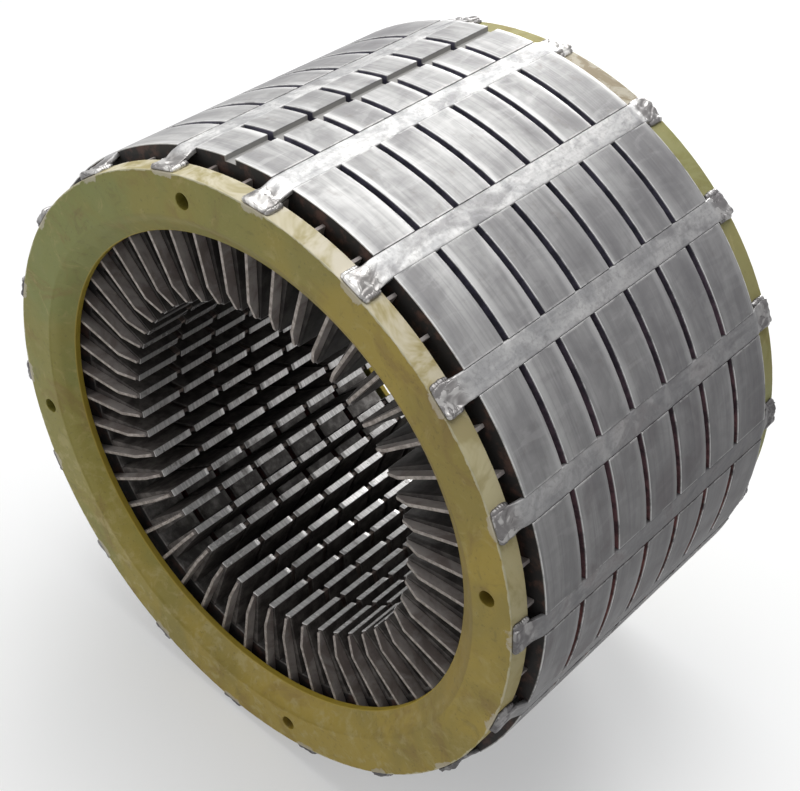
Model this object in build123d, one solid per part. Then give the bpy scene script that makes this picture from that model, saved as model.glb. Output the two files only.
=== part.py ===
from build123d import *
import math
import os

# Stator lamination stack of a medium voltage machine.
# The bore axis lies along Y and the bore is open at both ends.
# Seven packets of laminations stand one behind another with air ducts between.
# A pressure ring and a crown of fingers clamp each end, and flat tie bars hold all.
# All sizes are in millimetres, and +Z is up.

# Laminations
core_outer_radius = 370.0
bore_radius = 200.0
slot_count = 48
slot_width = 18.0
slot_depth = 84.0
slot_bottom_radius = bore_radius + slot_depth
tooth_phase = 1.25

# Packets and ducts
end_packet_length = 56.0
middle_packet_length = 47.0
middle_packet_count = 5
duct_width = 8.0

# Grooves for the tie bars and the key in the outside of the laminations
bar_count = 18
bar_groove_width = 26.4
bar_groove_depth = 7.9
bar_groove_floor = core_outer_radius - bar_groove_depth
keyway_angle = -10.5
keyway_width = 13.0
keyway_depth = 6.0
keyway_floor = core_outer_radius - keyway_depth

# Pressure rings
ring_setback = 12.0
ring_width = 71.0
ring_flat_width = 46.0
ring_bevel_depth = 18.0
ring_thickness = 25.0
ring_outer_radius = core_outer_radius - ring_setback
ring_bore_radius = ring_outer_radius - ring_width
ring_bevel_radius = ring_outer_radius - ring_flat_width
ring_hole_radius = 8.75
ring_hole_inset = 27.5
ring_hole_circle_radius = ring_outer_radius - ring_hole_inset
ring_hole_count = 4
ring_hole_phase = -16.25

# Pressure fingers
finger_height = 12.0
finger_thickness = 4.0
finger_setback = 1.5
finger_outer_radius = ring_outer_radius - finger_setback
finger_bend_radius = bore_radius + 24.0
finger_tip_radius = bore_radius + 2.0
finger_tip_height = 4.0

# Spacer strips in the ducts
spacer_thickness = 4.0
spacer_setback = 9.0
spacer_outer_radius = core_outer_radius - spacer_setback
spacer_inner_radius = bore_radius + 3.0

# Tie bars
bar_width = 26.0
bar_thickness = 6.0
bar_clearance = 0.3
bar_seat_on_core = bar_groove_floor + bar_clearance
bar_seat_on_ring = ring_outer_radius

# Weld beads that join each bar to the rings
weld_leg = 4.5
weld_end_gap = 2.0
weld_clearance = 0.05

# How far a cutting shape reaches past the surface it opens
overrun = 5.0

# Lengths along the axis, measured from the front face of the front ring
core_start = ring_thickness + finger_height
core_length = 2 * end_packet_length + middle_packet_count * middle_packet_length
core_length = core_length + (middle_packet_count + 1) * duct_width
core_end = core_start + core_length
stack_length = core_end + finger_height + ring_thickness


def turned(shape, angle):
    """Turn a piece about the bore axis, the angle counted from the top."""
    return Rot(0, 0, angle) * shape


def placed(shape):
    """Move the stack's middle to the origin and lay the bore axis along Y."""
    return Rot(-90, 0, 0) * (Pos(0, 0, -stack_length / 2) * shape)


def flat_box(inner, outer, width):
    """A flat rectangle that reaches from one distance to another above the axis."""
    middle = -(inner + outer) / 2
    return Pos(0, middle, 0) * Rectangle(width, outer - inner)


def save(shape, name):
    """Write one node of the stack to its own file."""
    part = placed(shape)
    part.label = name
    export_step(part, os.path.join("parts", name + ".step"))
    print(name, round(part.volume / 1000.0, 1), "cm3")


def lamination_outline():
    """One lamination seen along the axis: teeth inside, bar grooves outside."""
    tooth_step = 360.0 / slot_count
    tooth_tips = RegularPolygon(bore_radius, slot_count, major_radius=False)
    tooth_tips = turned(tooth_tips, tooth_phase + tooth_step / 2)
    sheet = Circle(core_outer_radius) - tooth_tips
    slot = flat_box(bore_radius - overrun, slot_bottom_radius, slot_width)
    slots = []
    for index in range(slot_count):
        angle = tooth_phase + (index + 0.5) * tooth_step
        slots.append(turned(slot, angle))
    groove = flat_box(bar_groove_floor, core_outer_radius + overrun, bar_groove_width)
    grooves = []
    for index in range(bar_count):
        grooves.append(turned(groove, index * 360.0 / bar_count))
    keyway = flat_box(keyway_floor, core_outer_radius + overrun, keyway_width)
    sheet = sheet - slots
    sheet = sheet - grooves
    sheet = sheet - turned(keyway, keyway_angle)
    return sheet


def pressure_ring():
    """A thick ring with a conical bore mouth, outer face at z = 0."""
    corners = [
        (ring_bevel_radius, 0),
        (ring_outer_radius, 0),
        (ring_outer_radius, ring_thickness),
        (ring_bore_radius, ring_thickness),
        (ring_bore_radius, ring_bevel_depth),
    ]
    half_section = Plane.XZ * make_face(Polyline(*corners, close=True))
    ring = revolve(half_section, axis=Axis.Z)
    hole = Pos(0, -ring_hole_circle_radius, ring_thickness / 2)
    hole = hole * Cylinder(ring_hole_radius, ring_thickness * 2)
    for index in range(ring_hole_count):
        angle = ring_hole_phase + index * 360.0 / ring_hole_count
        ring = ring - turned(hole, angle)
    return ring


def finger():
    """A strip on edge under the ring, sloped down to the tooth tip."""
    top = ring_thickness
    foot = core_start
    corners = [
        (finger_outer_radius, top),
        (finger_bend_radius, top),
        (finger_tip_radius, foot - finger_tip_height),
        (finger_tip_radius, foot),
        (finger_outer_radius, foot),
    ]
    points = [(0, -radius, height) for radius, height in corners]
    side = make_face(Polyline(*points, close=True))
    return extrude(side, finger_thickness / 2, dir=(1, 0, 0), both=True)


def spacer(start):
    """A strip that keeps two packets apart along one tooth."""
    outline = flat_box(spacer_inner_radius, spacer_outer_radius, spacer_thickness)
    return Pos(0, 0, start) * extrude(outline, duct_width)


def tie_bar():
    """A flat bar, flush in the core and set inward over both rings."""
    low = bar_seat_on_ring
    high = bar_seat_on_core
    stations = [
        (low, 0),
        (low, ring_thickness),
        (high, core_start),
        (high, core_end),
        (low, core_end + finger_height),
        (low, stack_length),
    ]
    under = [(0, -radius, along) for radius, along in stations]
    over = [(0, -radius - bar_thickness, along) for radius, along in reversed(stations)]
    side = make_face(Polyline(*under, *over, close=True))
    return extrude(side, bar_width / 2, dir=(1, 0, 0), both=True)


def weld_bead(side):
    """A three cornered bead in the corner between a bar and the ring's rim."""
    half = bar_width / 2 + weld_clearance
    rim = ring_outer_radius + weld_clearance
    inner = math.sqrt(rim ** 2 - half ** 2)
    foot = math.sqrt(rim ** 2 - (half + weld_leg) ** 2)
    corners = [
        (side * half, -inner),
        (side * half, -(bar_seat_on_ring + weld_leg)),
        (side * (half + weld_leg), -foot),
    ]
    outline = make_face(Polyline(*corners, close=True))
    bead = extrude(outline, ring_thickness - 2 * weld_end_gap)
    return Pos(0, 0, weld_end_gap) * bead


def all_round(shape, count, phase):
    """Copies of one piece, evenly spaced about the axis."""
    step = 360.0 / count
    return Compound([turned(shape, phase + index * step) for index in range(count)])


def rear(shape):
    """The same piece at the rear end, mirrored in the middle plane."""
    middle = Plane.XY.offset(stack_length / 2)
    return Compound([mirror(piece, about=middle) for piece in shape.solids()])


os.makedirs("parts", exist_ok=True)

# Packets and the spacers behind each of them
outline = lamination_outline()
position = core_start
packet_count = middle_packet_count + 2
for index in range(packet_count):
    is_end = index == 0 or index == packet_count - 1
    length = end_packet_length if is_end else middle_packet_length
    packet = Pos(0, 0, position) * extrude(outline, length)
    save(packet, "lamination_packet_" + str(index + 1))
    position = position + length
    if index < packet_count - 1:
        strips = all_round(spacer(position), slot_count, tooth_phase)
        save(strips, "duct_spacers_" + str(index + 1))
        position = position + duct_width

# Pressure rings
front_ring = pressure_ring()
save(front_ring, "front_pressure_ring")
save(rear(front_ring), "rear_pressure_ring")

# Pressure fingers
front_fingers = all_round(finger(), slot_count, tooth_phase)
save(front_fingers, "front_pressure_fingers")
save(rear(front_fingers), "rear_pressure_fingers")

# Tie bars
bar = tie_bar()
for index in range(bar_count):
    name = "tie_bar_" + str(index + 1).zfill(2)
    save(turned(bar, index * 360.0 / bar_count), name)

# Weld beads
beads = []
for index in range(bar_count):
    for side in (-1, 1):
        beads.append(turned(weld_bead(side), index * 360.0 / bar_count))
front_beads = Compound(beads)
save(front_beads, "front_bar_welds")
save(rear(front_beads), "rear_bar_welds")
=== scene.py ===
# %% [markdown]
# This scene dresses the lamination stack of a stator, the part of a large electric machine that
# holds the coils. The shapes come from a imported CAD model. Here every surface gets its finish, the
# flat tie bars and their welds get the uneven form that a hammer and a welder leave, and a camera
# and soft lamps are set up. Lengths are in metres, the bore lies along Y, and Z is up.

import math

import bpy
import numpy as np
from mathutils import Matrix, Vector


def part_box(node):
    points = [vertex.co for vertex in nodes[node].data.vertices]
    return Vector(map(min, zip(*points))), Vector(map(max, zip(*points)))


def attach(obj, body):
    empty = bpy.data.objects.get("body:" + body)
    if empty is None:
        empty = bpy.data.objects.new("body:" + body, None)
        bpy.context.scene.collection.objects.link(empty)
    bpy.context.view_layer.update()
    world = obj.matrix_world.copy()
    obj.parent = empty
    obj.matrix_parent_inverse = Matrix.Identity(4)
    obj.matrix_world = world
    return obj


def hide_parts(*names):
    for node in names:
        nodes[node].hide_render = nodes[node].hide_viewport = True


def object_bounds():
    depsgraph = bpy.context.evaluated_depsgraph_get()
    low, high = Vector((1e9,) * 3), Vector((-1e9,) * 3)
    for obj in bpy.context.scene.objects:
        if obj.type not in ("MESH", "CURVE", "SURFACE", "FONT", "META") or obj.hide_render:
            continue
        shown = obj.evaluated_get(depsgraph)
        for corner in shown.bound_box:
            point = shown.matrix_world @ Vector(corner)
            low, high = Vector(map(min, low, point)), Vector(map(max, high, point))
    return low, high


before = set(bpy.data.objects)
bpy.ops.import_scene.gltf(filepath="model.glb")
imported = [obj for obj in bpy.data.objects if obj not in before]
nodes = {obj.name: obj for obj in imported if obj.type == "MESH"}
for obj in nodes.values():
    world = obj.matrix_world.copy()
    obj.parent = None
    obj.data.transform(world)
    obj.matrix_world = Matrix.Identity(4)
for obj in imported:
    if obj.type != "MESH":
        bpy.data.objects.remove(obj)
cad_low, cad_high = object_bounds()
print(len(nodes), "CAD nodes, box", [round(v, 4) for v in cad_high - cad_low])

# %% [markdown]
# The sizes that the finishes need are read from the CAD boxes, so that they follow the model.
# A ring's box gives its radius, a packet's box gives the radius of the laminations, and the two
# rings together give the length of the stack. No box shows the depth of a slot, the section of a
# ring or the key groove, so those few sizes are written out as they are in the CAD source.

# %% Sizes taken from the model
def span(name):
    """Lowest and highest corner of a CAD node as two arrays."""
    low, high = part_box(name)
    return np.array(low), np.array(high)


front_ring_low, front_ring_high = span("front_pressure_ring")
packet_low, packet_high = span("lamination_packet_1")
second_packet_low = span("lamination_packet_2")[0]
third_packet_low = span("lamination_packet_3")[0]
bar_low, bar_high = span("tie_bar_01")

core_radius = packet_high[0]
core_front = packet_low[1]
ring_radius = front_ring_high[0]
ring_thickness = front_ring_high[1] - front_ring_low[1]
front_face = front_ring_low[1]
rear_face = span("rear_pressure_ring")[1][1]
duct_pitch = third_packet_low[1] - second_packet_low[1]
first_duct_centre = (packet_high[1] + second_packet_low[1]) / 2
duct_half_width = (second_packet_low[1] - packet_high[1]) / 2

tooth_radius = 0.200
slot_depth = 0.084
slot_bottom_radius = tooth_radius + slot_depth
ring_width = 0.071
ring_flat_width = 0.046
ring_bore_radius = ring_radius - ring_width
ring_bevel_radius = ring_radius - ring_flat_width
key_angle = -10.5
key_depth = 0.006
key_floor_radius = core_radius - key_depth
key_half_angle = 0.021

bar_names = sorted(name for name in nodes if name.startswith("tie_bar"))
bar_step = 360.0 / len(bar_names)
bar_half_width = (bar_high[0] - bar_low[0]) / 2
bar_thickness = 0.006
print("core radius", round(core_radius, 4), "ring radius", round(ring_radius, 4))
print("duct pitch", round(duct_pitch, 4), "first duct at", round(first_duct_centre, 4))

# %% [markdown]
# A small set of helpers keeps the materials readable. One function turns a colour written as on a
# web page into the linear values that a renderer works with. One function adds a node, gives it its
# settings and joins its inputs. An input that is given a socket is linked, and any other value is
# simply set. The short ones below stand for the sums and mixes that come up again and again.

# %% Helpers for materials
def linear(hex_colour):
    """Linear red, green, blue and alpha of an sRGB hex colour such as #8F8447."""
    values = [int(hex_colour[i:i + 2], 16) / 255 for i in (1, 3, 5)]
    curve = [v / 12.92 if v <= 0.04045 else ((v + 0.055) / 1.055) ** 2.4 for v in values]
    return (*curve, 1.0)


def add(tree, kind, inputs=None, **settings):
    """Add one node: settings are its properties, inputs maps a socket name or number to a value."""
    made = tree.nodes.new(kind)
    for name, value in settings.items():
        setattr(made, name, value)
    for name, value in (inputs or {}).items():
        if isinstance(value, bpy.types.NodeSocket):
            tree.links.new(value, made.inputs[name])
        else:
            made.inputs[name].default_value = value
    return made


def calc(tree, operation, first, second=0.0, third=0.0):
    """The result of one Math node."""
    inputs = {0: first, 1: second, 2: third}
    return add(tree, "ShaderNodeMath", inputs, operation=operation).outputs[0]


def times(tree, first, second):
    """The product of two values."""
    return calc(tree, "MULTIPLY", first, second)


def plus(tree, first, second):
    """The sum of two values."""
    return calc(tree, "ADD", first, second)


def minus(tree, first, second):
    """The first value less the second."""
    return calc(tree, "SUBTRACT", first, second)


def larger(tree, first, second):
    """The larger of two values."""
    return calc(tree, "MAXIMUM", first, second)


def absolute(tree, value):
    """A value without its sign."""
    return calc(tree, "ABSOLUTE", value)


def ramp(tree, value, low, high, smooth=True):
    """0 at low, 1 at high, and a gentle step between. Low may be the larger of the two."""
    kind = "SMOOTHSTEP" if smooth else "LINEAR"
    inputs = {"Value": value, "From Min": low, "From Max": high}
    return add(tree, "ShaderNodeMapRange", inputs, interpolation_type=kind).outputs["Result"]


def blend(tree, factor, first, second):
    """Mix two colours by a factor."""
    inputs = {0: factor, 6: first, 7: second}
    return add(tree, "ShaderNodeMix", inputs, data_type="RGBA", blend_type="MIX").outputs[2]


def two_tone(tree, value, low, high, first, second):
    """One hex colour where the value is at low, another where it is at high."""
    return blend(tree, ramp(tree, value, low, high), linear(first), linear(second))


def stain(tree, colour, mask, share, tint):
    """The colour, drawn towards a hex tint by the given share where the mask is 1."""
    return blend(tree, times(tree, mask, share), colour, linear(tint))


def noise(tree, vector, scale, detail=3.0, rough=0.55, distort=0.0):
    """A cloudy value about 0.5 with patches of about one over scale metres."""
    inputs = {"Vector": vector, "Scale": scale, "Detail": detail, "Roughness": rough}
    inputs["Distortion"] = distort
    return add(tree, "ShaderNodeTexNoise", inputs, noise_dimensions="3D").outputs["Fac"]


def stretched(tree, place, across, along):
    """The place scaled by one factor across the bore axis and by another along it."""
    inputs = {"Vector": place, "Scale": (across, along, across)}
    return add(tree, "ShaderNodeMapping", inputs).outputs[0]


def start(name):
    """A new material with its shader, and the coordinates that every finish here reads."""
    material = bpy.data.materials.new(name)
    material.use_nodes = True
    tree = material.node_tree
    tree.nodes.clear()
    shader = add(tree, "ShaderNodeBsdfPrincipled")
    add(tree, "ShaderNodeOutputMaterial", {"Surface": shader.outputs[0]})
    place = add(tree, "ShaderNodeTexCoord").outputs["Object"]
    xyz = add(tree, "ShaderNodeSeparateXYZ", {0: place}).outputs
    angle = calc(tree, "ARCTAN2", xyz[0], xyz[2])
    squares = plus(tree, times(tree, xyz[0], xyz[0]), times(tree, xyz[2], xyz[2]))
    radius = calc(tree, "SQRT", squares)
    return material, tree, shader, place, xyz, angle, radius


def join_shader(tree, shader, colour, metallic, rough, height, bump_strength):
    """Join a finish to its shader. The height is in metres and drives a bump."""
    inputs = {"Height": height, "Distance": 1.0, "Strength": bump_strength}
    bump = add(tree, "ShaderNodeBump", inputs)
    tree.links.new(colour, shader.inputs["Base Color"])
    tree.links.new(metallic, shader.inputs["Metallic"])
    tree.links.new(rough, shader.inputs["Roughness"])
    tree.links.new(bump.outputs[0], shader.inputs["Normal"])


def distance_from_bar(tree, angle, radius):
    """Distance in metres from the middle line of the nearest tie bar, round the stack."""
    return times(tree, calc(tree, "PINGPONG", angle, math.radians(bar_step / 2)), radius)


print("helpers ready, bars every", bar_step, "degrees")

# %% [markdown]
# The packets are silicon steel sheet, punched and stacked. Outside, where it was skimmed, and on the
# tooth tips the eye sees bare cut edges. The tips are drawn lighter than bare steel as painted
# light, and the outside gets painted highlights along the edges of the packets and beside the tie
# bars. Inside the slots and on the end faces the steel is dark and brown; on the end faces in the
# gaps behind the fingers that is rust and painted shade, and painted shade also darkens the top of
# the bore. One material tells these places apart by their distance from the bore axis. Real sheets
# are 0.5 mm thick, which is finer than a pixel here, so the sheet lines are drawn about 2.5 mm
# apart.
#
# Painted shade lies over the outside and darkens the steel towards the lower side and the rear. It
# is laid on twice: a grey one that starts near the top and is thicker towards the rear, and a darker
# one over the lower half.

# %% Steel sheet finish
def edge_distance(tree, y):
    """Distance in metres from the nearest end of a packet, along the axis.

    Between the ducts it repeats with their pitch. The two end packets are longer, so beyond the
    last duct it is the smaller of the distances from that duct and from the end of the core.
    """
    last_duct_edge = abs(first_duct_centre) + duct_half_width
    along = absolute(tree, y)
    steps = calc(tree, "DIVIDE", minus(tree, y, first_duct_centre), duct_pitch)
    nearest = times(tree, calc(tree, "PINGPONG", steps, 0.5), duct_pitch)
    from_duct = minus(tree, nearest, duct_half_width)
    from_end = minus(tree, abs(core_front), along)
    from_last_duct = minus(tree, along, last_duct_edge)
    past_last = calc(tree, "GREATER_THAN", along, last_duct_edge)
    in_middle = times(tree, from_duct, minus(tree, 1.0, past_last))
    at_end = times(tree, calc(tree, "MINIMUM", from_end, from_last_duct), past_last)
    return plus(tree, in_middle, at_end)


def front_edge_line(tree, y):
    """1 in a line about a millimetre wide at the front edge of every packet, else 0."""
    second_front = first_duct_centre + duct_half_width
    from_first = absolute(tree, minus(tree, y, core_front))
    first = ramp(tree, from_first, 0.0015, 0.0008)
    from_second = minus(tree, y, second_front - 0.0002)
    from_front = calc(tree, "FLOORED_MODULO", from_second, duct_pitch)
    behind_first = calc(tree, "GREATER_THAN", y, second_front - 0.0004)
    others = times(tree, ramp(tree, from_front, 0.0016, 0.0009), behind_first)
    return larger(tree, first, others)


def painted_shade_low_and_rear(tree, colour, xyz):
    """Painted shade that darkens bare steel towards the lower side and the rear."""
    upper = ramp(tree, xyz[2], 0.985 * core_radius, 0.84 * core_radius, False)
    side = ramp(tree, xyz[2], 0.905 * core_radius, 0.81 * core_radius, False)
    lower = ramp(tree, xyz[2], 0.73 * core_radius, 0.13 * core_radius, False)
    rear = ramp(tree, xyz[1], 0.64 * front_face, 0.34 * rear_face, False)
    slope = minus(tree, 0.62, times(tree, side, 0.45))
    least = plus(tree, times(tree, side, 0.16), 0.24)
    grey = times(tree, upper, plus(tree, times(tree, rear, slope), least))
    dark = times(tree, lower, plus(tree, times(tree, rear, 0.14), 0.57))
    return blend(tree, dark, blend(tree, grey, colour, linear("#58565A")), linear("#39373A"))


def outside_tone(tree, place, xyz, angle, radius, cloud, smear, sheets, grime, edge):
    """The skimmed outside: clouds and streaks, painted highlights along the packet edges and beside
    the grooves, and painted shade.
    """
    slide = noise(tree, stretched(tree, place, 55.0, 16.0), 1.0, 4.0, 0.6, 0.8)
    tone = two_tone(tree, smear, 0.34, 0.70, "#999897", "#C1C0BE")
    tone = stain(tree, tone, ramp(tree, cloud, 0.46, 0.70), 0.60, "#7E7C7D")
    tone = stain(tree, tone, ramp(tree, cloud, 0.44, 0.30), 0.35, "#DDDCDA")
    tone = stain(tree, tone, ramp(tree, sheets, 0.46, 0.75), 0.30, "#77757A")
    tone = stain(tree, tone, ramp(tree, grime, 0.56, 0.74), 0.30, "#75695F")
    tone = stain(tree, tone, ramp(tree, slide, 0.50, 0.70), 0.22, "#6C6A6C")
    tone = stain(tree, tone, ramp(tree, slide, 0.46, 0.32), 0.22, "#DAD9D7")
    red = times(tree, ramp(tree, xyz[2], 0.24, 0.0), ramp(tree, cloud, 0.50, 0.66))
    tone = stain(tree, tone, red, 0.35, "#7E5F5C")
    # Painted highlight: the steel is lighter within about 11 mm of the ends of every packet, in
    # patches.
    patchy = plus(tree, times(tree, ramp(tree, smear, 0.40, 0.62), 0.6), 0.25)
    edge_highlight = times(tree, ramp(tree, edge, 0.011, 0.002), patchy)
    tone = blend(tree, edge_highlight, tone, linear("#DDDCDA"))
    # Painted highlight in a line beside the groove of each tie bar, laid on before and after the
    # shade.
    beside_groove = ramp(tree, distance_from_bar(tree, angle, radius), 0.0156, 0.0138)
    groove_edge_highlight = times(tree, beside_groove, ramp(tree, grime, 0.42, 0.58))
    tone = stain(tree, tone, groove_edge_highlight, 0.45, "#E2E1DF")
    # Painted shade towards the lower side and the rear.
    tone = painted_shade_low_and_rear(tree, tone, xyz)
    # Painted highlight in a thin line along the front edge of every packet.
    front_edge_highlight = times(tree, front_edge_line(tree, xyz[1]), ramp(tree, grime, 0.34, 0.56))
    tone = stain(tree, tone, front_edge_highlight, 0.70, "#E6E5E3")
    return stain(tree, tone, groove_edge_highlight, 0.22, "#E2E1DF")


def inside_tones(tree, xyz, sheets, grime, floors, back_iron):
    """Slots and ducts in one tone, and the tooth tips in another, lightened as painted light.
    Painted shade darkens the top of the bore, and the end gaps get rust and painted shade.
    """
    rust = ramp(tree, xyz[2], 0.30, 0.02, False)
    duct_light = blend(tree, rust, linear("#6E6A7C"), linear("#96605A"))
    duct_dark = blend(tree, rust, linear("#4A4856"), linear("#4C302E"))
    duct_tone = blend(tree, ramp(tree, grime, 0.38, 0.66), duct_dark, duct_light)
    core_end = abs(core_front)
    in_end_gap = ramp(tree, absolute(tree, xyz[1]), core_end - 0.0010, core_end - 0.0004)
    # Painted shade: the end faces in the gap behind the fingers are near black, with rusty patches.
    gap_rust_and_shade = two_tone(tree, grime, 0.46, 0.66, "#131010", "#4A342D")
    duct_tone = blend(tree, in_end_gap, duct_tone, gap_rust_and_shade)
    wall = two_tone(tree, grime, 0.36, 0.68, "#3A3533", "#6A6561")
    floor_tone = two_tone(tree, grime, 0.40, 0.72, "#5E5B59", "#93908D")
    # Painted shade over the top of the bore, on the slots and on the tips.
    bore_top_shade = ramp(tree, xyz[2], -0.14, 0.12)
    within = stain(tree, blend(tree, floors, wall, floor_tone), bore_top_shade, 0.60, "#1A1716")
    within = blend(tree, back_iron, within, duct_tone)
    # The tips are bare steel, drawn lighter still as painted light.
    tip_steel_and_light = two_tone(tree, sheets, 0.35, 0.7, "#C8C6C4", "#ECEAE8")
    tip_steel_and_light = blend(tree, ramp(tree, grime, 0.50, 0.8), tip_steel_and_light, linear("#7C7672"))
    tip_steel_and_light = stain(tree, tip_steel_and_light, bore_top_shade, 0.78, "#3F3B3A")
    return within, tip_steel_and_light


def key_groove_floor(tree, angle, radius, outside):
    """1 on the floor of the key groove, else 0."""
    key_side = absolute(tree, minus(tree, angle, math.radians(key_angle)))
    between = ramp(tree, key_side, key_half_angle + 0.0005, key_half_angle - 0.0005)
    deep = ramp(tree, radius, key_floor_radius - 0.0008, key_floor_radius - 0.0004)
    return times(tree, times(tree, between, deep), minus(tree, 1.0, outside))


def steel_sheet_finish():
    """Silicon steel sheet: painted highlights on the edges outside, tips lightened as painted light,
    dull slots, bluish to rusty ducts.
    """
    material, tree, shader, place, xyz, angle, radius = start("silicon_steel_sheet")
    floor_radius = slot_bottom_radius
    outside = ramp(tree, radius, core_radius - 0.0016, core_radius - 0.0008, False)
    tips = ramp(tree, radius, tooth_radius + 0.0012, tooth_radius + 0.0004, False)
    floors = ramp(tree, radius, floor_radius - 0.0010, floor_radius - 0.0002, False)
    back_iron = ramp(tree, radius, floor_radius + 0.0010, floor_radius + 0.0030, False)
    cloud = noise(tree, place, 13.0, 4.0, 0.62, 0.5)
    smear = noise(tree, stretched(tree, place, 6.0, 46.0), 1.0, 4.0, 0.6, 0.6)
    sheets = noise(tree, stretched(tree, place, 5.0, 420.0), 1.0, 2.0, 0.5)
    grime = noise(tree, place, 60.0, 5.0, 0.65)
    edge = edge_distance(tree, xyz[1])
    tone = outside_tone(tree, place, xyz, angle, radius, cloud, smear, sheets, grime, edge)
    within, tip_steel_and_light = inside_tones(tree, xyz, sheets, grime, floors, back_iron)
    key_floor = key_groove_floor(tree, angle, radius, outside)
    colour = blend(tree, outside, within, tone)
    colour = blend(tree, tips, colour, tip_steel_and_light)
    colour = blend(tree, key_floor, colour, linear("#9B9996"))
    bare = larger(tree, larger(tree, outside, key_floor), tips)
    bare_floor = times(tree, floors, minus(tree, 1.0, back_iron))
    metallic = larger(tree, times(tree, outside, 0.32), times(tree, tips, 0.35))
    metallic = larger(tree, metallic, times(tree, bare_floor, 0.9))
    metallic = larger(tree, metallic, minus(tree, 0.45, back_iron))
    cloudy = plus(tree, times(tree, cloud, 0.30), 0.40)
    rough = plus(tree, times(tree, minus(tree, 1.0, bare), 0.12), cloudy)
    rough = minus(tree, rough, times(tree, larger(tree, bare_floor, tips), 0.26))
    lift = times(tree, ramp(tree, edge, 0.0, 0.005), 0.0009)
    height = plus(tree, lift, times(tree, sheets, 0.00016))
    height = plus(tree, height, times(tree, smear, 0.0008))
    join_shader(tree, shader, colour, metallic, rough, height, 0.7)
    return material


sheet_steel = steel_sheet_finish()
print("finish:", sheet_steel.name)

# %% [markdown]
# The pressure rings are thick plate under olive yellow enamel, brushed on by hand. The paint is a
# little greener in patches and browner where grease has settled, and it is worn to pale metal on
# the outer corners. Enamel is a dielectric, so the base colour carries the look and a medium
# roughness gives it a soft sheen.

# %% Olive enamel finish
def ragged_edge(tree, mask, chips, spread, low, high):
    """A mask whose border is broken up by a noise, the more so the larger the spread."""
    ragged = plus(tree, mask, times(tree, minus(tree, chips, 0.5), spread))
    return ramp(tree, ragged, low, high)


def bar_smears(tree, angle, radius, chips):
    """Weld metal run over the outer corner of a ring beside each tie bar, with ragged edges."""
    beside = ramp(tree, distance_from_bar(tree, angle, radius), 0.021, 0.009)
    outer = ramp(tree, radius, ring_radius - 0.016, ring_radius - 0.001)
    return ragged_edge(tree, times(tree, beside, outer), chips, 1.6, 0.66, 0.84)


def rim_colours(tree, colour, xyz, rim, patches, stains, brushed):
    """Dust with painted light on the top of a ring's rim, scuffs, pale wear with a painted highlight
    at the front top, and rust at the rear top.
    """
    # Dust on the rim, lighter towards the top and the front: partly dust, partly painted light.
    rim_dust_and_light = times(tree, rim, plus(tree, times(tree, patches, 0.7), 0.40))
    rim_dust_and_light = times(tree, rim_dust_and_light, ramp(tree, xyz[2], -0.20, 0.20))
    rim_dust_and_light = times(tree, rim_dust_and_light, ramp(tree, xyz[1], 0.45, -0.15, False))
    colour = blend(tree, rim_dust_and_light, colour, two_tone(tree, stains, 0.44, 0.62, "#CDC39C", "#B0A47A"))
    # Pale at the top of the front rim: worn paint and a painted highlight.
    pale = times(tree, ramp(tree, xyz[2], 0.22, 0.33), ramp(tree, xyz[1], 0.0, -0.1))
    pale = times(tree, times(tree, pale, rim), ramp(tree, stains, 0.62, 0.40))
    colour = stain(tree, colour, pale, 0.75, "#DCD4C4")
    bare = times(tree, ramp(tree, xyz[2], 0.330, 0.340), ramp(tree, xyz[1], 0.0, 0.1))
    bare = times(tree, times(tree, bare, rim), ramp(tree, xyz[0], 0.0, 0.02))
    rusty = two_tone(tree, brushed, 0.42, 0.58, "#988A76", "#BFB7A8")
    return blend(tree, times(tree, bare, 0.85), colour, rusty)


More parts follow.
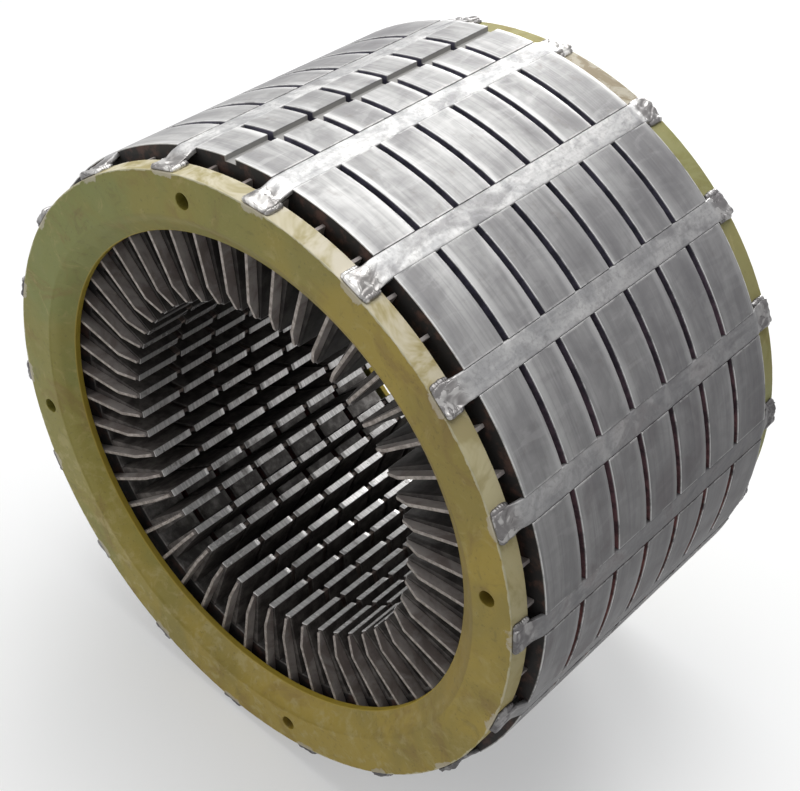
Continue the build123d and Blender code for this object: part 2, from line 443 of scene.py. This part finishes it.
def olive_enamel_finish():
    """Brushed enamel on plate: olive yellow with green and brown patches and worn corners."""
    material, tree, shader, place, xyz, angle, radius = start("olive_yellow_enamel")
    patches = noise(tree, place, 6.0, 3.0, 0.6, 0.6)
    stains = noise(tree, place, 15.0, 4.0, 0.65, 0.8)
    chips = noise(tree, place, 70.0, 4.0, 0.6, 0.4)
    specks = noise(tree, place, 240.0, 3.0, 0.6)
    brushed = noise(tree, stretched(tree, place, 34.0, 34.0), 1.0, 5.0, 0.7, 1.4)
    front_half = ramp(tree, xyz[1], 0.10, -0.10)
    slant = minus(tree, xyz[0], times(tree, xyz[2], 0.35))
    side = times(tree, ramp(tree, slant, -0.38, 0.16), front_half)
    golden = blend(tree, side, linear("#7E7934"), linear("#9E8834"))
    green = blend(tree, side, linear("#767A3A"), linear("#8C7B34"))
    colour = blend(tree, ramp(tree, patches, 0.42, 0.60), golden, green)
    colour = stain(tree, colour, ramp(tree, stains, 0.52, 0.70), 0.55, "#7A6234")
    colour = stain(tree, colour, ramp(tree, brushed, 0.54, 0.72), 0.40, "#A99A62")
    colour = stain(tree, colour, ramp(tree, brushed, 0.44, 0.30), 0.35, "#5F5426")
    tan = times(tree, ramp(tree, chips, 0.50, 0.68), ramp(tree, xyz[2], 0.10, -0.30))
    colour = stain(tree, colour, times(tree, tan, front_half), 0.48, "#AD9F6E")
    colour = stain(tree, colour, ramp(tree, specks, 0.60, 0.72), 0.35, "#564A22")
    # The bevel is drawn darker brown: a little all round, more on the front ring towards +X and over
    # the upper half.
    bevel = ramp(tree, radius, ring_bevel_radius + 0.0010, ring_bevel_radius - 0.0004)
    plus_x_upper_side = times(tree, side, ramp(tree, xyz[2], -0.22, 0.02))
    darker_bevel = times(tree, bevel, plus(tree, times(tree, plus_x_upper_side, 0.40), 0.05))
    colour = blend(tree, darker_bevel, colour, linear("#6E5A2E"))
    bore = ramp(tree, radius, ring_bore_radius + 0.0014, ring_bore_radius + 0.0004)
    colour = stain(tree, colour, bore, 0.8, "#A08A2C")
    rim = ramp(tree, radius, ring_radius - 0.0012, ring_radius - 0.0004)
    colour = rim_colours(tree, colour, xyz, rim, patches, stains, brushed)
    near_rim = ramp(tree, radius, ring_radius - 0.0050, ring_radius - 0.0006)
    end = abs(front_face)
    near_face = ramp(tree, absolute(tree, xyz[1]), end - 0.0030, end - 0.0006)
    worn = ragged_edge(tree, times(tree, near_rim, near_face), chips, 1.5, 0.78, 1.05)
    colour = stain(tree, colour, worn, 0.65, "#C9C3A6")
    smears = bar_smears(tree, angle, radius, chips)
    colour = stain(tree, colour, smears, 0.7, "#B0A898")
    rough = plus(tree, times(tree, stains, 0.3), 0.34)
    rough = plus(tree, rough, times(tree, rim, 0.20))
    height = plus(tree, times(tree, stains, 0.0009), times(tree, specks, 0.00012))
    height = plus(tree, height, times(tree, smears, 0.0006))
    height = minus(tree, height, times(tree, worn, 0.00025))
    join_shader(tree, shader, colour, times(tree, smears, 0.3), rough, height, 0.6)
    shader.inputs["Specular IOR Level"].default_value = 0.35
    return material


enamel = olive_enamel_finish()
print("finish:", enamel.name)

# %% [markdown]
# The fingers are plain hot rolled strip on edge. Their front edges are rubbed to a light
# brownish grey, and their sides keep scale and rust. The surface normal tells the two apart: an
# edge faces along the bore, a side faces round it. The spacer strips in the ducts are darker.

# %% Hot rolled strip finishes
def strip_finish(name, edge_light, edge_dark, side_light, side_dark):
    """Hot rolled strip: worn edges that face along the axis, scaled and rusty sides."""
    material, tree, shader, place, *_ = start(name)
    normal = add(tree, "ShaderNodeNewGeometry").outputs["True Normal"]
    facing = absolute(tree, add(tree, "ShaderNodeSeparateXYZ", {0: normal}).outputs[1])
    rust = noise(tree, place, 24.0, 5.0, 0.65, 0.6)
    grain = noise(tree, place, 180.0, 3.0, 0.6)
    edge = two_tone(tree, grain, 0.35, 0.7, edge_dark, edge_light)
    side = two_tone(tree, rust, 0.38, 0.62, side_dark, side_light)
    is_edge = ramp(tree, facing, 0.3, 0.6)
    colour = blend(tree, is_edge, side, edge)
    metallic = plus(tree, times(tree, is_edge, 0.35), 0.15)
    rough = plus(tree, times(tree, rust, 0.3), 0.35)
    height = plus(tree, times(tree, rust, 0.0008), times(tree, grain, 0.00025))
    join_shader(tree, shader, colour, metallic, rough, height, 0.6)
    return material


finger_strip = strip_finish("hot_rolled_finger_strip", "#A39B94", "#766E68", "#A8A19D", "#807672")
spacer_strip = strip_finish("varnished_spacer_strip", "#6B5A52", "#3C302C", "#8A7C74", "#3A2C2A")
print("finishes:", finger_strip.name, spacer_strip.name)

# %% [markdown]
# Each CAD node keeps its own mesh and only gets a material. The start of a node's name says what
# it is, so one call dresses all the pieces of one kind.

# %% Put the finishes on the CAD nodes
def starting_with(prefix):
    """The CAD nodes whose names start with the prefix, in order of name."""
    return [nodes[name] for name in sorted(nodes) if name.startswith(prefix)]


def dress(prefix, material):
    """Give one material to every CAD node whose name starts with the prefix."""
    chosen = starting_with(prefix)
    for obj in chosen:
        obj.data.materials.clear()
        obj.data.materials.append(material)
    print(prefix, "on", len(chosen), "nodes")


dress("lamination_packet", sheet_steel)
dress("front_pressure_ring", enamel)
dress("rear_pressure_ring", enamel)
dress("front_pressure_fingers", finger_strip)
dress("rear_pressure_fingers", finger_strip)
dress("duct_spacers", spacer_strip)

# %% [markdown]
# No real edge is a knife edge. A weld modifier joins the corners that the import left apart, and a
# decimate modifier makes each flat face whole. A bevel modifier then rounds every edge sharper
# than 40 degrees: widest on the flame cut plate of the rings, a hair on the punched sheets and on
# the sheared strip. Weighted normals keep the large faces flat next to their rounded edges.

# %% Rounded edges
same_corner = 0.00002
same_plane = math.radians(0.5)
sharp_edge = math.radians(40)


def soften(prefix, width, segments):
    """Round the sharp edges of every CAD node whose name starts with the prefix."""
    chosen = starting_with(prefix)
    for obj in chosen:
        joined = obj.modifiers.new("joined_corners", "WELD")
        joined.merge_threshold = same_corner
        flat = obj.modifiers.new("whole_flat_faces", "DECIMATE")
        flat.decimate_type = "DISSOLVE"
        flat.angle_limit = same_plane
        rounded = obj.modifiers.new("rounded_edges", "BEVEL")
        rounded.width = width
        rounded.segments = segments
        rounded.limit_method = "ANGLE"
        rounded.angle_limit = sharp_edge
        rounded.face_strength_mode = "FSTR_ALL"
        shading = obj.modifiers.new("even_shading", "WEIGHTED_NORMAL")
        shading.weight = 100
        shading.use_face_influence = True
    print(prefix, "rounded by", width * 1000, "mm on", len(chosen), "nodes")


soften("front_pressure_ring", 0.0012, 3)
soften("rear_pressure_ring", 0.0012, 3)
soften("lamination_packet", 0.0005, 2)
soften("front_pressure_fingers", 0.0006, 2)
soften("rear_pressure_fingers", 0.0006, 2)

# %% [markdown]
# ## The tie bars
# Each tie bar is a flat bar that lies in a groove of the core and is hammered down onto the rim of
# each ring. Seen from the side its outer face follows one smooth curve: high over the core, and
# low over the rings, with an S bend over the fingers. Across the bar the section is a rectangle
# with rounded corners. A superellipse gives such a section from one formula:
#
# |x / a|^n + |z / b|^n = 1, with n = 9.
#
# The CAD bars have sharp corners, so a curved surface stands for each of them here.

# %% Shapes of the tie bars
def closed_mesh(name, surfaces, mirrored=False):
    """One mesh from closed grids of points (rows along v, columns round u), capped at both ends.

    Faces are quads (i, j), (i + 1, j), (i + 1, j + 1), (i, j + 1), which look outward here. On
    a mirrored grid they are taken the other way round.
    """
    points = np.concatenate([surface.reshape(-1, 3) for surface in surfaces])
    faces = []
    first = 0
    for surface in surfaces:
        rows, columns = surface.shape[:2]
        here = first + np.arange(rows - 1)[:, None] * columns
        j = np.arange(columns)[None, :]
        right = (j + 1) % columns
        corners = [here + j, here + columns + j, here + columns + right, here + right]
        loops = np.stack(corners, -1).reshape(-1, 4).tolist()
        loops.append((first + np.arange(columns)).tolist())
        loops.append((first + rows * columns - 1 - np.arange(columns)).tolist())
        faces += [loop[::-1] for loop in loops] if mirrored else loops
        first += rows * columns
    mesh = bpy.data.meshes.new(name)
    mesh.from_pydata(points.tolist(), [], faces)
    mesh.shade_smooth()
    mesh.update()
    return mesh


def smooth_step(value, low, high):
    """0 below low, 1 above high, with s = t t (3 - 2 t) between."""
    t = np.clip((value - low) / (high - low), 0, 1)
    return t * t * (3 - 2 * t)


def waves(u, v, seed, count=7):
    """A sum of sines with falling height and random direction: a smooth rough surface in -1 to 1."""
    random = np.random.default_rng(seed)
    numbers = np.arange(1, count + 1)
    powers = 1.0 / numbers
    turn, shift = random.uniform(0, 2 * np.pi, (2, count))
    steps = numbers ** 1.15
    phase = np.cos(turn) * steps * u[..., None] + np.sin(turn) * steps * v[..., None] + shift
    return (powers * np.sin(phase)).sum(-1) / powers.sum()


# Heights of the outer face, the S bend as distances from a bar's end, and the lug at that end
bar_top = core_radius - 0.0004
bar_end_top = ring_radius + bar_thickness
bar_end_gap = 0.0002
fine_length = 0.05
bend_start = ring_thickness - 0.010
bend_end = abs(front_face - core_front) + 0.004
lug_middle = 0.011
lug_spread = 0.009
lug_swell = 0.0014
lug_swell_range = 0.0006
end_rounding = 0.0022
section_power = 9
section_columns = 56


def rounded_bar_section(u, a, b, n):
    """Points spaced evenly round a rectangle, drawn in to |x/a|^n + |z/b|^n = 1, as x/a and z/b.

    (2 / pi) arcsin(cos u) is a triangle wave, and two of them, clipped, run round the rectangle.
    """
    x = np.clip((a + b) * 2 / np.pi * np.arcsin(np.cos(u)) / a, -1, 1)
    z = np.clip((a + b) * 2 / np.pi * np.arcsin(np.sin(u)) / b, -1, 1)
    shrink = (np.abs(x) ** n + np.abs(z) ** n) ** (-1 / n)
    return x * shrink, z * shrink


def bar_surface(seed):
    """The tie bar at the top: u runs round its section, v along the bore axis.

    The outer face stands at h(v) = end + (top - end) s(v), s being a smooth step over the fingers.
    Dents d(u, v) lower the face. Near each end the bar swells to a lug by
    w exp(-((t - m) / g)^2), t being the distance from the end, and folds and creases mark it.
    """
    v = np.unique(np.concatenate([
        np.linspace(front_face + bar_end_gap, front_face + fine_length, 60),
        np.linspace(front_face + fine_length, rear_face - fine_length, 110),
        np.linspace(rear_face - fine_length, rear_face - bar_end_gap, 60)]))
    u = np.linspace(0, 2 * np.pi, section_columns, endpoint=False)
    v, u = np.meshgrid(v, u, indexing="ij")
    from_end = np.minimum(v - front_face, rear_face - v)
    level = smooth_step(from_end, bend_start, bend_end)
    across, up = rounded_bar_section(u, bar_half_width, bar_thickness / 2, section_power)
    random = np.random.default_rng(seed)
    most = lug_swell + lug_swell_range * random.uniform(-1, 1)
    swell = np.exp(-((from_end - lug_middle) / lug_spread) ** 2) * most
    from_tip = np.clip(1 - from_end / end_rounding, 0, 1)
    end_round = np.sqrt(np.clip(1 - from_tip ** 2, 0.02, 1))
    wobble = 0.0005 * waves(v * 40, up, seed + 1) + 0.0012 * waves(v * 90, up, seed + 2)
    width = bar_half_width + 0.0001 + swell + wobble * (1 - level) * np.sign(across)
    x = across * width * (0.7 + 0.3 * end_round)
    folds = waves(v * 75, across * 1.7, seed + 5, 3)
    crease = np.exp(-(folds / 0.10) ** 2)
    struck = 0.0026 * waves(v * 110, across * 1.9, seed + 4, 4) - 0.0012 * crease
    dents = 0.00035 * waves(v * 120, across * 2.5, seed + 3) + (1 - level) * struck
    middle = bar_end_top + (bar_top - bar_end_top) * level - bar_thickness / 2
    outer = np.clip(up, 0, 1)
    z = middle + up * bar_thickness / 2 * end_round + outer * (dents - 0.0003)
    return np.stack([x, v, z], -1)


def turn_about_bore(points, degrees):
    """Turn points about the bore axis, the angle counted from the top towards +X."""
    c, s = math.cos(math.radians(degrees)), math.sin(math.radians(degrees))
    x, y, z = points[..., 0], points[..., 1], points[..., 2]
    return np.stack([c * x + s * z, y, c * z - s * x], -1)


def put(name, mesh, material, replaced):
    """A new piece that rides on the stack and stands for the given CAD nodes."""
    mesh.materials.append(material)
    obj = bpy.data.objects.new(name, mesh)
    bpy.context.scene.collection.objects.link(obj)
    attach(obj, "root")
    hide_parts(*replaced)


print("bars bend between", round(bend_start, 4), "and", round(bend_end, 4), "m from their ends")

# %% [markdown]
# The bars keep the blue grey mill scale in clouds, with bright places where they were rubbed or
# struck, and a painted highlight over each duct. At the ends the weld metal has run over them, so
# they turn brighter and lumpier there, with painted shade in its creases.

# %% Tie bar finish
def bar_finish():
    """Flat bar: cloudy scale, worn bright in patches, a painted highlight over each duct, and
    dimpled weld metal at the ends with painted shade in its creases.
    """
    material, tree, shader, place, xyz, *_ = start("scaled_flat_bar")
    clouds = noise(tree, place, 19.0, 5.0, 0.62, 1.2)
    fine = noise(tree, place, 80.0, 4.0, 0.6, 0.5)
    grit = noise(tree, place, 240.0, 3.0, 0.65)
    smudges = noise(tree, stretched(tree, place, 30.0, 12.0), 1.0, 4.0, 0.6, 0.8)
    streaks = noise(tree, stretched(tree, place, 140.0, 9.0), 1.0, 3.0, 0.6)
    dimples = noise(tree, place, 52.0, 2.0, 0.5, 1.2)
    end = abs(front_face)
    near_end = ramp(tree, absolute(tree, xyz[1]), end - 0.034, end - 0.020)
    colour = two_tone(tree, clouds, 0.36, 0.64, "#B2B2B2", "#E0DFDD")
    colour = stain(tree, colour, ramp(tree, smudges, 0.50, 0.66), 0.55, "#6B696B")
    colour = stain(tree, colour, ramp(tree, fine, 0.55, 0.75), 0.35, "#DAD9D7")
    colour = stain(tree, colour, ramp(tree, streaks, 0.50, 0.72), 0.30, "#77777A")
    colour = stain(tree, colour, ramp(tree, grit, 0.48, 0.64), 0.32, "#858381")
    grease = times(tree, ramp(tree, smudges, 0.46, 0.34), ramp(tree, grit, 0.60, 0.42))
    colour = stain(tree, colour, grease, 0.40, "#7A7678")
    # Painted highlight across the bar over each duct.
    near_duct = ramp(tree, edge_distance(tree, xyz[1]), 0.007, -0.003)
    duct_crossing_highlight = times(tree, near_duct, ramp(tree, fine, 0.44, 0.60))
    colour = stain(tree, colour, duct_crossing_highlight, 0.45, "#DEDDDB")
    red = times(tree, ramp(tree, xyz[2], 0.26, 0.10), ramp(tree, clouds, 0.50, 0.66))
    colour = stain(tree, colour, red, 0.35, "#7E5F5C")
    weld = two_tone(tree, dimples, 0.40, 0.60, "#8A8785", "#D6D4D1")
    # Painted shade in thin dark lines, the creases of the weld metal.
    crease = absolute(tree, minus(tree, dimples, 0.5))
    shaded_creases = times(tree, ramp(tree, crease, 0.030, 0.006), ramp(tree, clouds, 0.42, 0.58))
    weld = stain(tree, weld, shaded_creases, 0.75, "#524E4C")
    # The bars get the same painted shade towards the lower side and the rear.
    colour = painted_shade_low_and_rear(tree, blend(tree, near_end, colour, weld), xyz)
    smooth = minus(tree, 0.40, times(tree, near_end, 0.14))
    rough = plus(tree, times(tree, clouds, 0.3), smooth)
    metallic = plus(tree, times(tree, near_end, 0.3), 0.55)
    height = plus(tree, times(tree, fine, 0.0006), times(tree, clouds, 0.0012))
    height = plus(tree, height, times(tree, streaks, 0.0003))
    height = plus(tree, height, times(tree, grit, 0.0002))
    pits = times(tree, shaded_creases, times(tree, near_end, 0.0006))
    join_shader(tree, shader, colour, metallic, rough, minus(tree, height, pits), 0.6)
    return material


bar_seed = 100
scaled_bar = bar_finish()
for index, name in enumerate(bar_names):
    surface = turn_about_bore(bar_surface(bar_seed + 10 * index), index * bar_step)
    mesh = closed_mesh("hammered_" + name, [surface])
    put("hammered_" + name, mesh, scaled_bar, [name])
print("tie bars:", len(bar_names), "at steps of", bar_step, "degrees")

# %% [markdown]
# Beads of weld metal lie in the two corners between each bar and the rim of a ring. All beads of
# one ring make one mesh. The rear ones are the front ones mirrored in the middle of the stack,
# with their faces turned over so that they still look outward.

# %% Weld beads at both rings
bead_seed = 500
bead_radius = 0.0036
bead_end_gap = 0.0012
bead_ripples = 7


def bead_surface(side, seed):
    """The bead beside the top bar at the front ring: u runs round its section, v along the bore.

    Its section is a blob with radius r(u, v) = r0 (1 + 0.25 w(u, v)), w being smooth waves, and its
    foot lies in the corner between the bar's side and the ring's rim. Ripples along v are the
    weld's own: r0 grows and shrinks as |sin(k v)|, one ripple for each drop of metal.
    """
    u = np.linspace(0, 2 * np.pi, 18, endpoint=False)
    v = np.linspace(0.0, 1.0, 30)
    v, u = np.meshgrid(v, u, indexing="ij")
    ends = np.sqrt(np.clip(1 - np.abs(2 * v - 1) ** 6, 0.01, 1))
    ripples = 1 + 0.10 * np.abs(np.sin(v * np.pi * bead_ripples + seed))
    radius = bead_radius * ends * ripples * (1 + 0.25 * waves(u, v * 6, seed))
    reach = side * (bar_half_width + 0.0006)
    base = math.sqrt(ring_radius ** 2 - reach ** 2) + 0.0010
    x = reach + side * 0.0004 + radius * np.cos(u)
    z = base + radius * 0.95 * np.sin(u)
    y = front_face + bead_end_gap + v * (ring_thickness - 2 * bead_end_gap)
    return np.stack([x, y, z], -1)


front_beads = []
for index in range(len(bar_names)):
    for side in (-1, 1):
        bead = bead_surface(side, bead_seed + 2 * index + side)
        front_beads.append(turn_about_bore(bead, index * bar_step))
rear_beads = [bead * np.array([1, -1, 1]) for bead in front_beads]
front_metal = closed_mesh("front_weld_metal", front_beads)
rear_metal = closed_mesh("rear_weld_metal", rear_beads, mirrored=True)
put("front_weld_metal", front_metal, scaled_bar, ["front_bar_welds"])
put("rear_weld_metal", rear_metal, scaled_bar, ["rear_bar_welds"])
print("weld beads:", len(front_beads) + len(rear_beads))

# %% [markdown]
# ## Floor, light and camera
# The photograph was cut out on white. A pale floor lies just under the stack. To the camera a
# share of it shows as plain white, and that share grows away from the stack, so that a soft shadow
# stays close to it. The world shows white to the camera too, and lights the object softly.

# %% Floor and world
white = (1.0, 1.0, 1.0, 1.0)
floor_gap = 0.0005
floor_reach = 6.0


def seen_rays(tree):
    """1 for rays from the camera, also off a gloss or through glass, and 0 for the others."""
    rays = add(tree, "ShaderNodeLightPath").outputs
    seen = larger(tree, rays["Is Camera Ray"], rays["Is Transmission Ray"])
    return larger(tree, seen, rays["Is Glossy Ray"])


def stage_finish():
    """Pale floor that takes the shadow, shown as white to the camera by 36 to 76 per cent."""
    material = bpy.data.materials.new("pale_floor")
    material.use_nodes = True
    tree = material.node_tree
    tree.nodes.clear()
    paint = add(tree, "ShaderNodeBsdfDiffuse", {"Color": linear("#F4F4F3")}).outputs[0]
    glow = add(tree, "ShaderNodeEmission", {"Color": white, "Strength": 1.0}).outputs[0]
    place = add(tree, "ShaderNodeTexCoord").outputs["Object"]
    away = add(tree, "ShaderNodeVectorMath", {0: place}, operation="LENGTH").outputs["Value"]
    clear = plus(tree, times(tree, ramp(tree, away, 0.36, 0.80), 0.40), 0.36)
    share = times(tree, seen_rays(tree), clear)
    mixed = add(tree, "ShaderNodeMixShader", {0: share, 1: paint, 2: glow})
    add(tree, "ShaderNodeOutputMaterial", {"Surface": mixed.outputs[0]})
    return material


def white_world():
    """A world that is white to the camera and a soft, slightly blue light to everything else."""
    world = bpy.data.worlds.new("studio")
    world.use_nodes = True
    tree = world.node_tree
    tree.nodes.clear()
    backdrop = add(tree, "ShaderNodeBackground", {"Color": white, "Strength": 1.0})
    soft = add(tree, "ShaderNodeBackground", {"Color": (0.93, 0.96, 1.0, 1.0), "Strength": 0.30})
    inputs = {0: seen_rays(tree), 1: soft.outputs[0], 2: backdrop.outputs[0]}
    mixed = add(tree, "ShaderNodeMixShader", inputs)
    add(tree, "ShaderNodeOutputWorld", {"Surface": mixed.outputs[0]})
    return world


floor_mesh = bpy.data.meshes.new("floor")
corners = [(x * floor_reach, y * floor_reach, 0) for x, y in ((-1, -1), (1, -1), (1, 1), (-1, 1))]
floor_mesh.from_pydata(corners, [], [(0, 1, 2, 3)])
floor_mesh.materials.append(stage_finish())
floor = bpy.data.objects.new("floor", floor_mesh)
floor.location = (0, 0, float(cad_low[2]) - floor_gap)
bpy.context.scene.collection.objects.link(floor)
bpy.context.scene.world = white_world()
bpy.context.scene.view_settings.view_transform = "Standard"
print("floor at", round(floor.location[2], 4))

# %% [markdown]
# A large soft lamp stands over the stack, and two weaker ones light the front ring and the rear
# from the left. The camera stands in front, to the right and above, slightly rolled. Its
# place and lens were fitted to the photograph's rims and bore.

# %% Lamps and camera
def area_lamp(name, place, aim, size, power):
    """A square soft box that looks from one place at another."""
    lamp = bpy.data.lights.new(name, "AREA")
    lamp.size = size
    lamp.energy = power
    obj = bpy.data.objects.new(name, lamp)
    obj.location = place
    obj.rotation_euler = (Vector(aim) - Vector(place)).to_track_quat("-Z", "Y").to_euler()
    bpy.context.scene.collection.objects.link(obj)


area_lamp("key_softbox", place=(-0.5, 0.4, 2.6), aim=(0.0, 0.0, 0.1), size=2.2, power=63)
area_lamp("front_fill", place=(-1.4, -2.6, 0.9), aim=(0.0, -0.1, 0.0), size=1.8, power=19)
area_lamp("rear_fill", place=(-0.8, 2.1, 0.5), aim=(0.15, 0.0, -0.10), size=0.9, power=42)

azimuth = math.radians(37.2329)
elevation = math.radians(41.4797)
roll = math.radians(6.8723)
distance = 1.7163
target = Vector((0.0, -0.0197, 0.0))
level_reach = math.cos(elevation)
back = Vector((math.sin(azimuth) * level_reach, -math.cos(azimuth) * level_reach,
               math.sin(elevation)))
level_right = (-back).cross(Vector((0.0, 0.0, 1.0))).normalized()
level_up = level_right.cross(-back).normalized()
right = math.cos(roll) * level_right + math.sin(roll) * level_up
up = math.cos(roll) * level_up - math.sin(roll) * level_right
view = bpy.data.cameras.new("photo_view")
view.sensor_fit = "HORIZONTAL"
view.sensor_width = 36.0
view.lens = 67.9
view.shift_x = 0.03006
view.shift_y = 0.0030
camera = bpy.data.objects.new("photo_view", view)
camera.matrix_world = Matrix((right, up, back)).transposed().to_4x4()
camera.location = target + back * distance
bpy.context.scene.collection.objects.link(camera)
bpy.context.scene.camera = camera
print("camera at", [round(v, 3) for v in camera.location])
